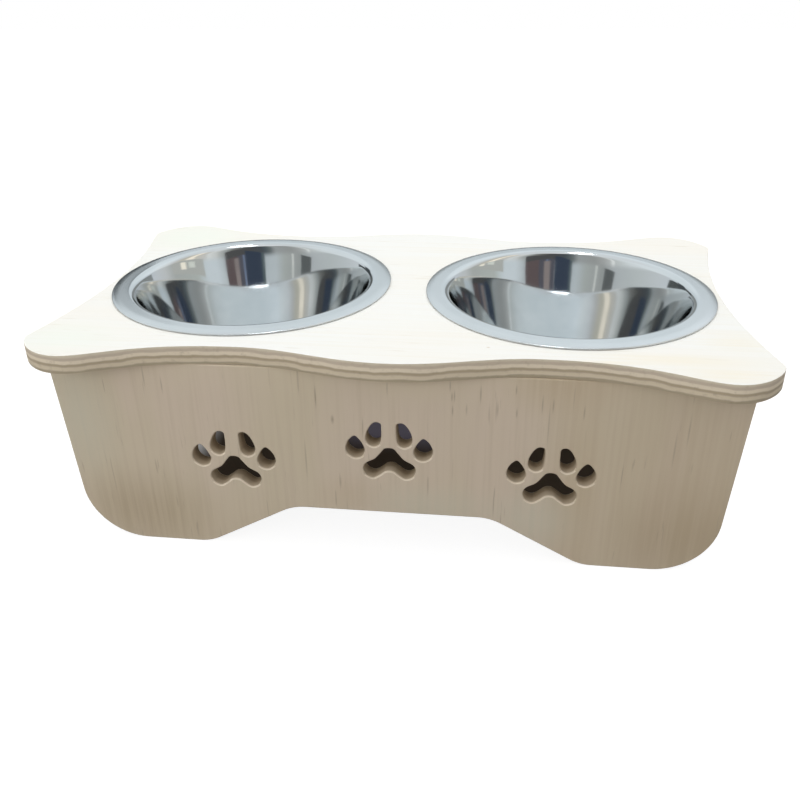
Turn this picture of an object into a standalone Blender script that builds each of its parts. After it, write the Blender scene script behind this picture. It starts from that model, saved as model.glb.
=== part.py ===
"""Double pet feeder: a bone-shaped plywood stand that carries two lift-out steel bowls.

The origin is the middle of the footprint on the floor. X runs along the stand, Y from
the front to the rear, and Z up. Sizes are in metres and angles in degrees.
"""

from math import cos, pi, radians, sin, sqrt, tan

import bmesh
import bpy
from mathutils import Matrix, Vector

# Fits
SEAT_GAP = 0.0003          # between pieces that touch, also round a dowel
NECK_CLEARANCE = 0.00306   # between a bowl's neck and its hole
END_CLEARANCE = 0.0012     # between a bowl hole's edge and the end panel's inner face
DOWEL_END_GAP = 0.0005     # glue room past each end of a dowel

# Steel bowls
RIM_RADIUS = 0.090
RIM_GAP = 0.024            # between the two rims
BEAD_RADIUS = 0.00085      # rolled edge of the flange
FLANGE_WIDTH = 0.0104
LIP_RADIUS = 0.0048        # bend from the flange into the wall
LIP_DRAFT = 23.7           # of the wall where it leaves the lip
FLARE_LENGTH = 0.017       # along the wall, from the lip to its straight part
WALL_DRAFT = 15.4
BOWL_DEPTH = 0.070
HEEL_RADIUS = 0.012        # bend from the wall into the floor
STEEL_THICKNESS = 0.0007

# Plywood sheet that all five boards are cut from
PLY_THICKNESS = 0.011
EDGE_CHAMFER = 0.0007

# Stand
BOARD_HEIGHT = 0.1345      # floor to the top of the board
HOLE_TO_PANEL = 0.0135     # bowl hole's edge to the inner face of a long panel
PANEL_REVEAL = 0.0033      # end panel's outer face to the long panel's side edge
SIDE_TAPER = 3.5           # lean of the long panels' side edges
CORNER_RADIUS = 0.037
FOOT_WIDTH = 0.0753        # along the floor, out to the leaning side edge's line
ARCH_HEIGHT = 0.030
ARCH_SLOPE = 28.8
ARCH_BLEND_RADIUS = 0.028

# Bone outline of the board, measured past the long panels' outer faces and side edges
DIP_X = 0.0832
CREST_X = 0.1789
BUMP_OVERHANG = 0.0129
DIP_OVERHANG = -0.0005
CREST_OVERHANG = 0.0204
TIP_OVERHANG = 0.0112
TIP_SETBACK = 0.0039       # lobe tip, behind the long panel's outer face
WAIST_OVERHANG = 0.0024    # past the end panel's outer face
BUMP_HANDLE = 0.0324
DIP_INNER_HANDLE = 0.0291
DIP_OUTER_HANDLE = 0.0625
CREST_INNER_HANDLE = 0.0186
CREST_OUTER_HANDLE = 0.0175
TIP_FRONT_HANDLE = 0.006
TIP_SIDE_HANDLE = 0.005
WAIST_HANDLE = 0.0547

# Paw cut-outs: knots of the right half, measured from the top of the main pad
PAW_SPACING = 0.0926
SIDE_PAW_HEIGHT = 0.0635   # floor to the top of the pad
MIDDLE_PAW_HEIGHT = 0.0745
PAD_HALF = [(0.0, 0.0), (0.0044, -0.0026), (0.0083, -0.0074), (0.0136, -0.0107),
            (0.0153, -0.0146), (0.0136, -0.0189), (0.0095, -0.0206), (0.0048, -0.0177),
            (0.0, -0.0153)]
INNER_TOE = [(0.0048, 0.0159), (0.0084, 0.0163), (0.0116, 0.0124), (0.0134, 0.0068),
             (0.0124, 0.0025), (0.0087, 0.0006), (0.0054, 0.0025), (0.0045, 0.0068),
             (0.0043, 0.0116)]
OUTER_TOE = [(0.0200, 0.0071), (0.0234, 0.0040), (0.0251, -0.0006), (0.0242, -0.0048),
             (0.0202, -0.0075), (0.0161, -0.0064), (0.0142, -0.0026), (0.0152, 0.0014),
             (0.0174, 0.0051)]

# Dowels
DOWEL_RADIUS = 0.003
FACE_BORE = 0.0075         # depth in the face of a piece
EDGE_BORE = 0.0205         # depth in the edge of a piece
PANEL_DOWELS = 4
PANEL_DOWEL_MARGIN = 0.045
END_DOWEL_SETBACK = 0.034  # from the long panel's inner face to an upright dowel
JOINT_DOWEL_MARGIN = 0.020 # from the end panel's top and bottom to a level dowel

# Facets
ROUND_STEPS = 48
DOWEL_STEPS = 12
BEZIER_STEPS = 6
HEEL_STEPS = 5
LIP_STEPS = 3
FLARE_STEPS = 4
BEAD_STEPS = 6
CORNER_STEP = 10.0         # degrees of a rounded corner for each facet
PAW_STEPS = 2              # facets between two knots of a paw

# Places that follow from the sizes above
BOWL_X = RIM_RADIUS + RIM_GAP / 2
FLANGE_INNER = RIM_RADIUS - FLANGE_WIDTH
NECK_RADIUS = FLANGE_INNER - (LIP_RADIUS - STEEL_THICKNESS) * cos(radians(LIP_DRAFT))
HOLE_RADIUS = NECK_RADIUS + NECK_CLEARANCE
RIM_TOP = BOARD_HEIGHT + SEAT_GAP + 2 * BEAD_RADIUS
BOARD_UNDERSIDE = BOARD_HEIGHT - PLY_THICKNESS
PANEL_HEIGHT = BOARD_UNDERSIDE - SEAT_GAP
PANEL_INNER_Y = HOLE_RADIUS + HOLE_TO_PANEL
PANEL_OUTER_Y = PANEL_INNER_Y + PLY_THICKNESS
SIDE_LEAN = tan(radians(SIDE_TAPER))
END_WIDTH = PLY_THICKNESS / cos(radians(SIDE_TAPER))
END_INNER_X = BOWL_X + HOLE_RADIUS + END_CLEARANCE
END_OUTER_X = END_INNER_X + END_WIDTH
PANEL_TOP_X = END_OUTER_X + PANEL_REVEAL
PANEL_FLOOR_X = PANEL_TOP_X - PANEL_HEIGHT * SIDE_LEAN
END_BOTTOM = CORNER_RADIUS


def clear_scene():
    for item in list(bpy.data.objects):
        bpy.data.objects.remove(item, do_unlink=True)


def new_collection(name):
    collection = bpy.data.collections.new(name)
    bpy.context.scene.collection.children.link(collection)
    return collection


def new_material(name, colour, roughness, metallic):
    material = bpy.data.materials.new(name)
    material.use_nodes = True
    shader = material.node_tree.nodes["Principled BSDF"]
    shader.inputs["Base Color"].default_value = (*colour, 1.0)
    shader.inputs["Roughness"].default_value = roughness
    shader.inputs["Metallic"].default_value = metallic
    return material


def arc(centre, radius, start, end, steps):
    """Points along an arc, from one angle to another."""
    angles = [radians(start + (end - start) * i / steps) for i in range(steps + 1)]
    return [(centre[0] + radius * cos(a), centre[1] + radius * sin(a)) for a in angles]


def rounded_outline(corners):
    """Points of a closed outline whose corners (x, y, radius) are rounded by arcs."""
    points = []
    for i, (x, y, radius) in enumerate(corners):
        here = Vector((x, y))
        back = (Vector(corners[i - 1][:2]) - here).normalized()
        ahead = (Vector(corners[(i + 1) % len(corners)][:2]) - here).normalized()
        if radius == 0:
            points.append((x, y))
            continue
        half = back.angle(ahead) / 2
        centre = here + (back + ahead).normalized() * radius / sin(half)
        start = here + back * radius / tan(half) - centre
        turn = back.cross(ahead)
        sweep = (pi - 2 * half) * (1 if turn < 0 else -1)
        steps = max(2, round(abs(sweep) / radians(CORNER_STEP)))
        for j in range(steps + 1):
            spoke = start.copy()
            spoke.rotate(Matrix.Rotation(sweep * j / steps, 2))
            points.append(tuple(centre + spoke))
    return points


def bezier(start, leave, arrive, end):
    """Points along a cubic Bezier curve, without its last one."""
    points = []
    for i in range(BEZIER_STEPS):
        t = i / BEZIER_STEPS
        s = 1 - t
        weights = (s ** 3, 3 * s * s * t, 3 * s * t * t, t ** 3)
        pairs = list(zip(weights, (start, leave, arrive, end)))
        points.append((sum(w * p[0] for w, p in pairs), sum(w * p[1] for w, p in pairs)))
    return points


def smooth_loop(knots, steps):
    """Points of a closed Catmull-Rom curve through the knots."""
    points = []
    count = len(knots)
    for i in range(count):
        p0, p1, p2, p3 = (Vector(knots[(i + k - 1) % count]) for k in range(4))
        for j in range(steps):
            t = j / steps
            point = p1 + 0.5 * t * (p2 - p0 + t * (2 * p0 - 5 * p1 + 4 * p2 - p3
                                                   + t * (3 * p1 - p0 - 3 * p2 + p3)))
            points.append(tuple(point))
    return points


def circle(centre, radius, steps):
    angles = [2 * pi * i / steps for i in range(steps)]
    return [(centre[0] + radius * cos(a), centre[1] + radius * sin(a)) for a in angles]


def bone_outline():
    """The board's outline: a bump, dips and lobes on each long side, and a drawn-in waist."""
    bump = (0.0, PANEL_OUTER_Y + BUMP_OVERHANG)
    dip = (DIP_X, PANEL_OUTER_Y + DIP_OVERHANG)
    crest = (CREST_X, PANEL_OUTER_Y + CREST_OVERHANG)
    tip = (PANEL_TOP_X + TIP_OVERHANG, PANEL_OUTER_Y - TIP_SETBACK)
    waist = (END_OUTER_X + WAIST_OVERHANG, 0.0)
    quarter = bezier(waist, (waist[0], WAIST_HANDLE), (tip[0], tip[1] - TIP_SIDE_HANDLE), tip)
    quarter += bezier(tip, (tip[0], tip[1] + TIP_FRONT_HANDLE),
                      (crest[0] + CREST_OUTER_HANDLE, crest[1]), crest)
    quarter += bezier(crest, (crest[0] - CREST_INNER_HANDLE, crest[1]),
                      (dip[0] + DIP_OUTER_HANDLE, dip[1]), dip)
    quarter += bezier(dip, (dip[0] - DIP_INNER_HANDLE, dip[1]), (BUMP_HANDLE, bump[1]), bump)
    left = [(-x, y) for x, y in reversed(quarter[1:])]
    rear = quarter + [bump] + left
    front = [(-x, -y) for x, y in rear]
    return rear + front


def panel_outline():
    """A long panel's outline as (x, height): leaning sides, round corners and an arch."""
    slope_run = ARCH_HEIGHT / tan(radians(ARCH_SLOPE))
    foot_x = PANEL_FLOOR_X - FOOT_WIDTH
    arch_x = foot_x - slope_run
    right = [(arch_x, ARCH_HEIGHT, ARCH_BLEND_RADIUS),
             (foot_x, 0.0, ARCH_BLEND_RADIUS),
             (PANEL_FLOOR_X, 0.0, CORNER_RADIUS),
             (PANEL_TOP_X, PANEL_HEIGHT, 0)]
    left = [(-x, z, radius) for x, z, radius in reversed(right)]
    return rounded_outline(right + left)


def paw_outlines(paw_x, paw_z):
    """The main pad and four toes of one paw cut-out."""
    left = [(-x, z) for x, z in reversed(PAD_HALF[1:-1])]
    loops = [smooth_loop(PAD_HALF + left, PAW_STEPS)]
    for toe in (INNER_TOE, OUTER_TOE):
        for side in (-1, 1):
            loops.append(smooth_loop([(side * x, z) for x, z in toe], PAW_STEPS))
    return [[(paw_x + x, paw_z + z) for x, z in loop] for loop in loops]


def flare(start):
    """Down the flared top of a wall: its inner points, then its outer points."""
    inner = [Vector(start)]
    outer = []
    for i in range(FLARE_STEPS):
        share = (i + 0.5) / FLARE_STEPS
        draft = radians(WALL_DRAFT + (LIP_DRAFT - WALL_DRAFT) * (1 - share) ** 2)
        inner.append(inner[-1] - FLARE_LENGTH / FLARE_STEPS * Vector((sin(draft), cos(draft))))
        outer.append(inner[-1] + STEEL_THICKNESS * Vector((cos(draft), -sin(draft))))
    return inner[1:], outer


def bowl_section():
    """Half of a bowl's section as (radius, height): up the inside, down the outside."""
    flange_edge = RIM_RADIUS - BEAD_RADIUS
    floor_top = RIM_TOP - BOWL_DEPTH
    lip_centre = (FLANGE_INNER, RIM_TOP - LIP_RADIUS)
    lip_angle = 180 - LIP_DRAFT
    lip_outer = LIP_RADIUS - STEEL_THICKNESS
    heel_outer = HEEL_RADIUS + STEEL_THICKNESS
    draft = radians(WALL_DRAFT)
    heel_z = floor_top + HEEL_RADIUS
    inner_lip = arc(lip_centre, LIP_RADIUS, lip_angle, 90, LIP_STEPS)
    inner_flare, outer_flare = flare(inner_lip[0])
    straight_top = inner_flare[-1]
    heel_end_z = heel_z - HEEL_RADIUS * sin(draft)
    wall_run = (straight_top.y - heel_end_z) * tan(draft)
    heel_x = straight_top.x - wall_run - HEEL_RADIUS * cos(draft)
    heel_centre = (heel_x, heel_z)
    bead_centre = (flange_edge, RIM_TOP - BEAD_RADIUS)
    section = [(0.0, floor_top)]
    section += arc(heel_centre, HEEL_RADIUS, -90, -WALL_DRAFT, HEEL_STEPS)
    section += [tuple(point) for point in reversed(inner_flare)]
    section += inner_lip
    section += arc(bead_centre, BEAD_RADIUS, 90, -170, BEAD_STEPS)
    section += arc(lip_centre, lip_outer, 90, lip_angle, LIP_STEPS)
    section += [tuple(point) for point in outer_flare]
    section += arc(heel_centre, heel_outer, -WALL_DRAFT, -90, HEEL_STEPS)
    section.append((0.0, floor_top - STEEL_THICKNESS))
    return section


def flat_piece(name, loops, thickness, chamfer, material, collection):
    """A mesh cut from sheet: outlines in the XY plane, thick along Z about the plane."""
    curve = bpy.data.curves.new(name, "CURVE")
    curve.dimensions = "2D"
    curve.fill_mode = "BOTH"
    curve.extrude = thickness / 2 - chamfer
    curve.bevel_depth = chamfer
    curve.bevel_resolution = 0
    curve.offset = -chamfer
    for loop in loops:
        spline = curve.splines.new("POLY")
        spline.points.add(len(loop) - 1)
        for point, (x, y) in zip(spline.points, loop):
            point.co = (x, y, 0.0, 1.0)
        spline.use_cyclic_u = True
    outline = bpy.data.objects.new(name, curve)
    collection.objects.link(outline)
    return solid_from_curve(outline, name, material, collection)


def solid_from_curve(outline, name, material, collection):
    """Turn a filled curve into one closed mesh object and remove the curve."""
    graph = bpy.context.evaluated_depsgraph_get()
    mesh = bpy.data.meshes.new_from_object(outline.evaluated_get(graph))
    shell = bmesh.new()
    shell.from_mesh(mesh)
    bmesh.ops.remove_doubles(shell, verts=shell.verts, dist=0.000001)
    shell.to_mesh(mesh)
    shell.free()
    place = outline.matrix_world.copy()
    bpy.data.objects.remove(outline, do_unlink=True)
    piece = bpy.data.objects.new(name, mesh)
    mesh.name = name
    mesh.materials.clear()
    mesh.materials.append(material)
    piece.matrix_world = place
    collection.objects.link(piece)
    return piece


def add_cylinder(shell, centre, axis, radius, length):
    """Add a closed cylinder along an axis to a bmesh."""
    turn = Vector((0, 0, 1)).rotation_difference(axis).to_matrix().to_4x4()
    bmesh.ops.create_cone(shell, cap_ends=True, segments=DOWEL_STEPS, radius1=radius,
                          radius2=radius, depth=length, matrix=Matrix.Translation(centre) @ turn)


def make_board(material, collection):
    loops = [bone_outline()]
    for side in (-1, 1):
        loops.append(circle((side * BOWL_X, 0.0), HOLE_RADIUS, ROUND_STEPS))
    board = flat_piece("top_board", loops, PLY_THICKNESS, EDGE_CHAMFER, material, collection)
    board.location.z = BOARD_HEIGHT - PLY_THICKNESS / 2
    return board


def make_long_panels(material, collection):
    """The front panel and the rear panel, cut alike, with their outer faces outwards."""
    loops = [panel_outline()]
    loops += paw_outlines(-PAW_SPACING, SIDE_PAW_HEIGHT)
    loops += paw_outlines(0.0, MIDDLE_PAW_HEIGHT)
    loops += paw_outlines(PAW_SPACING, SIDE_PAW_HEIGHT)
    front = flat_piece("front_panel", loops, PLY_THICKNESS, 0.0, material, collection)
    rear = bpy.data.objects.new("rear_panel", front.data)
    collection.objects.link(rear)
    middle_y = PANEL_OUTER_Y - PLY_THICKNESS / 2
    front.location.y = -middle_y
    front.rotation_euler = (pi / 2, 0, 0)
    rear.location.y = middle_y
    rear.rotation_euler = (pi / 2, 0, pi)
    return front, rear


def make_end_panels(material, collection):
    """The end panels stand between the long panels and lean with their side edges."""
    drop = PANEL_HEIGHT - END_BOTTOM
    run = drop * SIDE_LEAN
    panels = []
    for name, side in (("left_end_panel", -1), ("right_end_panel", 1)):
        section = [(END_OUTER_X, PANEL_HEIGHT), (END_INNER_X, PANEL_HEIGHT),
                   (END_INNER_X - run, END_BOTTOM), (END_OUTER_X - run, END_BOTTOM)]
        loop = [(side * x, z) for x, z in section]
        length = 2 * (PANEL_INNER_Y - SEAT_GAP)
        panel = flat_piece(name, [loop], length, 0.0, material, collection)
        panel.rotation_euler = (pi / 2, 0, 0)
        panels.append(panel)
    return panels


def end_middle_x(height):
    """Where the middle of the end panel's thickness is at a height."""
    return END_INNER_X + END_WIDTH / 2 - (PANEL_HEIGHT - height) * SIDE_LEAN


def dowel_joints():
    """Name, place on the joint, and axis from the face bore towards the edge bore."""
    down = Vector((0, 0, -1))
    joints = []
    reach = PANEL_TOP_X - PANEL_DOWEL_MARGIN
    panel_y = PANEL_OUTER_Y - PLY_THICKNESS / 2
    upright_y = PANEL_INNER_Y - END_DOWEL_SETBACK
    heights = (PANEL_HEIGHT - JOINT_DOWEL_MARGIN, END_BOTTOM + JOINT_DOWEL_MARGIN)
    for row, way in (("front", -1), ("rear", 1)):
        for i in range(PANEL_DOWELS):
            x = reach * (2 * i / (PANEL_DOWELS - 1) - 1)
            place = Vector((x, way * panel_y, BOARD_UNDERSIDE))
            joints.append((f"{row}_panel_dowel_{i + 1}", place, down))
    for end, side in (("left", -1), ("right", 1)):
        for row, way in (("front", -1), ("rear", 1)):
            x = side * end_middle_x(BOARD_UNDERSIDE - EDGE_BORE / 2)
            place = Vector((x, way * upright_y, BOARD_UNDERSIDE))
            joints.append((f"{end}_end_dowel_{row}", place, down))
            inwards = Vector((0, -way, 0))
            for level, height in zip(("upper", "lower"), heights):
                place = Vector((side * end_middle_x(height), way * PANEL_INNER_Y, height))
                joints.append((f"{row}_{end}_joint_dowel_{level}", place, inwards))
    return joints


def make_dowels(material, collection, cutters):
    """Each dowel as its own piece, and one cutter that holds all of their bores."""
    bores = bmesh.new()
    middle = (EDGE_BORE - FACE_BORE) / 2
    for name, place, axis in dowel_joints():
        centre = place + axis * middle
        shell = bmesh.new()
        add_cylinder(shell, centre, axis, DOWEL_RADIUS, FACE_BORE + EDGE_BORE - 2 * DOWEL_END_GAP)
        mesh = bpy.data.meshes.new(name)
        shell.to_mesh(mesh)
        shell.free()
        mesh.materials.append(material)
        collection.objects.link(bpy.data.objects.new(name, mesh))
        add_cylinder(bores, centre, axis, DOWEL_RADIUS + SEAT_GAP, FACE_BORE + EDGE_BORE)
    mesh = bpy.data.meshes.new("dowel_bores")
    bores.to_mesh(mesh)
    bores.free()
    cutter = bpy.data.objects.new("dowel_bores", mesh)
    cutter.hide_render = True
    cutter.display_type = "WIRE"
    cutters.objects.link(cutter)
    return cutter


def bore(pieces, cutter):
    for piece in pieces:
        cut = piece.modifiers.new("dowel bores", "BOOLEAN")
        cut.operation = "DIFFERENCE"
        cut.solver = "EXACT"
        cut.object = cutter


def make_bowls(material, collection):
    """Both bowls share one pressed shape, turned about the Z axis through each hole."""
    section = bowl_section()
    mesh = bpy.data.meshes.new("bowl")
    edges = [(i, i + 1) for i in range(len(section) - 1)]
    mesh.from_pydata([(r, 0.0, z) for r, z in section], edges, [])
    mesh.materials.append(material)
    for name, side in (("left_bowl", -1), ("right_bowl", 1)):
        bowl = bpy.data.objects.new(name, mesh)
        bowl.location.x = side * BOWL_X
        collection.objects.link(bowl)
        turn = bowl.modifiers.new("turned", "SCREW")
        turn.steps = ROUND_STEPS
        turn.render_steps = ROUND_STEPS
        turn.use_merge_vertices = True
        turn.merge_threshold = 0.00001
        turn.use_smooth_shade = True


def main():
    clear_scene()
    feeder = new_collection("double_pet_feeder")
    cutters = new_collection("cutters")
    plywood = new_material("plywood", (0.66, 0.55, 0.41), 0.6, 0.0)
    beech = new_material("beech", (0.62, 0.45, 0.28), 0.6, 0.0)
    steel = new_material("polished_steel", (0.75, 0.76, 0.78), 0.12, 1.0)
    board = make_board(plywood, feeder)
    long_panels = make_long_panels(plywood, feeder)
    end_panels = make_end_panels(plywood, feeder)
    dowel_bores = make_dowels(beech, feeder, cutters)
    bore([board, *long_panels, *end_panels], dowel_bores)
    make_bowls(steel, feeder)


main()
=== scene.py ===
# %% [markdown]
# # A double pet feeder in plywood and steel
#
# A low stand holds two steel bowls at the height of a cat or a small dog. Its boards are
# routed from plywood: a bone-shaped top board, a front and a rear panel with paw prints cut
# through them, and two end panels that stand back out of sight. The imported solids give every
# place and size. This script dresses them: finer outlines, rounded edges, wood with its
# layers, mirror-bright steel, and a plain studio.

import random
from math import atan2, cos, pi, radians, sin, sqrt, tan

import bmesh
import bpy
from mathutils import Matrix, Vector


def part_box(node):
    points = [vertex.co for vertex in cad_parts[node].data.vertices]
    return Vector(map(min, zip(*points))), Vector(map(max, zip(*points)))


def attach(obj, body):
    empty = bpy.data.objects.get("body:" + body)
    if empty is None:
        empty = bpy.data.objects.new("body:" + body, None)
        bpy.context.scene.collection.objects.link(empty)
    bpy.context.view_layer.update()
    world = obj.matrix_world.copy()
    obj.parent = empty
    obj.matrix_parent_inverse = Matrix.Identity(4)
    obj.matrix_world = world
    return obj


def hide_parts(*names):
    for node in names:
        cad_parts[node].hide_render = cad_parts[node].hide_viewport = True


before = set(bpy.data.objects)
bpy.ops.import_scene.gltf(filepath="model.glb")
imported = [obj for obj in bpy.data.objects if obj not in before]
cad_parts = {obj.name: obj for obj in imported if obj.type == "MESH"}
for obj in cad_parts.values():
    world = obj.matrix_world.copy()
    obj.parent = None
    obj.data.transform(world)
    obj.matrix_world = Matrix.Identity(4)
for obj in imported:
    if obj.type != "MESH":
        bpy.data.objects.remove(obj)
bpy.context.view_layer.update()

# %% [markdown]
# ## Sizes
#
# The boards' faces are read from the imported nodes, so the dressed boards can't drift away
# from the solids. Only the curves need numbers of their own. Lengths are in metres, but for the
# paw prints' knots, which are in millimetres. An arris is an edge that sanding has broken: a
# little on the top board, more on the panels.

# %% Read the places of the boards
board_low, board_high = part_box("top_board")
front_low, front_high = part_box("front_panel")
BOARD_TOP = board_high.z
BOARD_UNDERSIDE = board_low.z
PLY = BOARD_TOP - BOARD_UNDERSIDE
PANEL_OUTER_Y = -front_low.y
PANEL_INNER_Y = -front_high.y
PANEL_HEIGHT = front_high.z
PANEL_TOP_X = front_high.x
BOARD_ARRIS = 0.0004
PANEL_ARRIS = 0.0008
print("ply in mm:", round(1000 * PLY, 2), "panel height in mm:", round(1000 * PANEL_HEIGHT, 1))

# %% [markdown]
# ## Curves for the outlines
#
# A routed outline is a chain of smooth arcs. Three small helpers cover all of them: a cubic
# Bezier for the bone, a corner rounder for the panels' feet and arch, and a Catmull-Rom loop
# for the paw prints. All of them return plain points, so one function can cut any board.

# %% Helpers for curves
def bezier(start, leave, arrive, end, steps=20):
    """Points along a cubic Bezier curve, without its last one."""
    points = []
    for i in range(steps):
        t = i / steps
        s = 1 - t
        weights = (s ** 3, 3 * s * s * t, 3 * s * t * t, t ** 3)
        pairs = list(zip(weights, (start, leave, arrive, end)))
        points.append((sum(w * p[0] for w, p in pairs), sum(w * p[1] for w, p in pairs)))
    return points


def rounded_outline(corners, step=3.0):
    """A closed outline whose corners (x, y, radius) are rounded, an arc step in degrees."""
    points = []
    for i, (x, y, radius) in enumerate(corners):
        here = Vector((x, y))
        back = (Vector(corners[i - 1][:2]) - here).normalized()
        ahead = (Vector(corners[(i + 1) % len(corners)][:2]) - here).normalized()
        if radius == 0:
            points.append((x, y))
            continue
        half = back.angle(ahead) / 2
        centre = here + (back + ahead).normalized() * radius / sin(half)
        start = here + back * radius / tan(half) - centre
        sweep = (pi - 2 * half) * (1 if back.cross(ahead) < 0 else -1)
        steps = max(2, round(abs(sweep) / radians(step)))
        for j in range(steps + 1):
            spoke = start.copy()
            spoke.rotate(Matrix.Rotation(sweep * j / steps, 2))
            points.append(tuple(centre + spoke))
    return points


def smooth_loop(knots, steps=6):
    """Points of a closed Catmull-Rom curve through the knots."""
    points = []
    count = len(knots)
    for i in range(count):
        p0, p1, p2, p3 = (Vector(knots[(i + k - 1) % count]) for k in range(4))
        for j in range(steps):
            t = j / steps
            bend = 2 * p0 - 5 * p1 + 4 * p2 - p3 + t * (3 * p1 - p0 - 3 * p2 + p3)
            points.append(tuple(p1 + 0.5 * t * (p2 - p0 + t * bend)))
    return points


def circle(centre, radius, steps=128):
    angles = [2 * pi * i / steps for i in range(steps)]
    return [(centre[0] + radius * cos(a), centre[1] + radius * sin(a)) for a in angles]


# %% [markdown]
# ## Wood
#
# The plywood is bare and pale. Its face veneer has long soft streaks, broader patches of a
# warmer tone, and short dark ticks where the peeling knife crossed a vessel. All of them run
# one way, along the grain, so every pattern here is a noise that is squeezed across the grain
# and stretched along it. The veneer's tone is mixed in steps, the softest change first. The top
# board and the panels are one plywood, so the top's paler tones are partly painted light and
# the upright panels' darker tones are partly painted shade.

# %% Helpers for materials
def new_material(name):
    """A material made of nodes, and its tree."""
    material = bpy.data.materials.new(name)
    material.use_nodes = True
    return material, material.node_tree


def set_inputs(tree, node, inputs):
    """Give each input, by number or name, its value or another node's output."""
    for key, value in inputs.items():
        if isinstance(value, bpy.types.NodeSocket):
            tree.links.new(value, node.inputs[key])
        else:
            node.inputs[key].default_value = value


def add_node(tree, kind, *values, **settings):
    """A node with its first inputs set in order, and its properties and inputs set by name."""
    node = tree.nodes.new(kind)
    inputs = dict(enumerate(values))
    for key, value in settings.items():
        if hasattr(node, key):
            setattr(node, key, value)
        else:
            inputs[key.replace("_", " ")] = value
    set_inputs(tree, node, inputs)
    return node


def mapped_place(tree, scale, shift):
    """Object coordinates, scaled and then shifted along each axis."""
    place = add_node(tree, "ShaderNodeTexCoord").outputs["Object"]
    mapping = add_node(tree, "ShaderNodeMapping", place, Scale=scale, Location=shift)
    return mapping.outputs["Vector"]


def stretched_noise(tree, stretch, shift, detail=3.0, roughness=0.5):
    """Noise on object coordinates, with its frequency along each axis in cycles a metre."""
    noise = add_node(tree, "ShaderNodeTexNoise", mapped_place(tree, stretch, shift),
                     Scale=1.0, Detail=detail, Roughness=roughness)
    return noise.outputs["Fac"]


def between(tree, value, low, high, to_low=0.0, to_high=1.0):
    """The value mapped smoothly from one range to another, and held at its ends."""
    return add_node(tree, "ShaderNodeMapRange", value, low, high, to_low, to_high,
                    interpolation_type="SMOOTHSTEP").outputs[0]


def calculate(tree, operation, *values):
    """What an operation makes of one or two values, each a number or a socket."""
    return add_node(tree, "ShaderNodeMath", *values, operation=operation).outputs[0]


def multiply(tree, first, second):
    return calculate(tree, "MULTIPLY", first, second)


def blend_colour(tree, share, first, second):
    """One colour over another by a share; a colour is a socket or (r, g, b)."""
    node = add_node(tree, "ShaderNodeMix", data_type="RGBA", Factor=share)
    for name, colour in (("A", first), ("B", second)):
        socket = next(s for s in node.inputs if s.name == name and s.type == "RGBA")
        if isinstance(colour, tuple):
            socket.default_value = (*colour, 1.0)
        else:
            tree.links.new(colour, socket)
    return next(s for s in node.outputs if s.type == "RGBA")


def bumped(tree, height, strength, distance):
    """The normal of a surface with a fine relief, whose full height is in metres."""
    bump = add_node(tree, "ShaderNodeBump", Height=height, Strength=strength, Distance=distance)
    return bump.outputs["Normal"]


# %% Veneer
DULL = 0.3
PATCHES = (22, 5)
FIBRES = (330, 9)
VESSELS = (620, 45)
VESSEL_GROUPS = (70, 22)


def soft_patch(tree, centre, reach):
    """1 at a place on the board, fading to 0 at a reach along each axis, in metres."""
    scale = [1 / r for r in reach]
    shift = [-c / r for c, r in zip(centre, reach)]
    away = add_node(tree, "ShaderNodeVectorMath", mapped_place(tree, scale, shift),
                    operation="LENGTH")
    return between(tree, away.outputs["Value"], 0.0, 1.0, 1.0, 0.0)


def new_veneer(name, along, tones, tick_share, shift, marks=()):
    """Face veneer with its grain along an axis; tones are pale, warm, streak and tick."""
    pale, warm, streak, tick = tones
    material, tree = new_material(name)

    def grain(cycles):
        """Cycles a metre for each axis, from those across the grain and along it."""
        return tuple(cycles[i == along] for i in range(3))

    patches = between(tree, stretched_noise(tree, grain(PATCHES), shift, 2.0), 0.35, 0.65)
    colour = blend_colour(tree, patches, pale, warm)
    fibres = stretched_noise(tree, grain(FIBRES), shift, 3.0, 0.6)
    fine = between(tree, fibres, 0.42, 0.75, 0.0, 0.38)
    colour = blend_colour(tree, fine, colour, streak)
    for centre, reach, tone, share in marks:
        uneven = between(tree, fibres, 0.25, 0.65, 0.6 * share, share)
        stain = multiply(tree, soft_patch(tree, centre, reach), uneven)
        colour = blend_colour(tree, stain, colour, tone)
    vessels = stretched_noise(tree, grain(VESSELS), shift, 1.0, 0.4)
    groups = stretched_noise(tree, grain(VESSEL_GROUPS), shift[::-1], 1.0)
    ticks = multiply(tree, between(tree, vessels, 0.64, 0.76), between(tree, groups, 0.5, 0.66))
    colour = blend_colour(tree, multiply(tree, ticks, tick_share), colour, tick)
    set_inputs(tree, tree.nodes["Principled BSDF"], {
        "Base Color": colour, "Roughness": between(tree, fibres, 0.3, 0.7, 0.58, 0.68),
        "Specular IOR Level": DULL, "Normal": bumped(tree, fibres, 0.25, 0.0002)})
    return material


TICK = (0.66, 0.58, 0.45)
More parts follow.
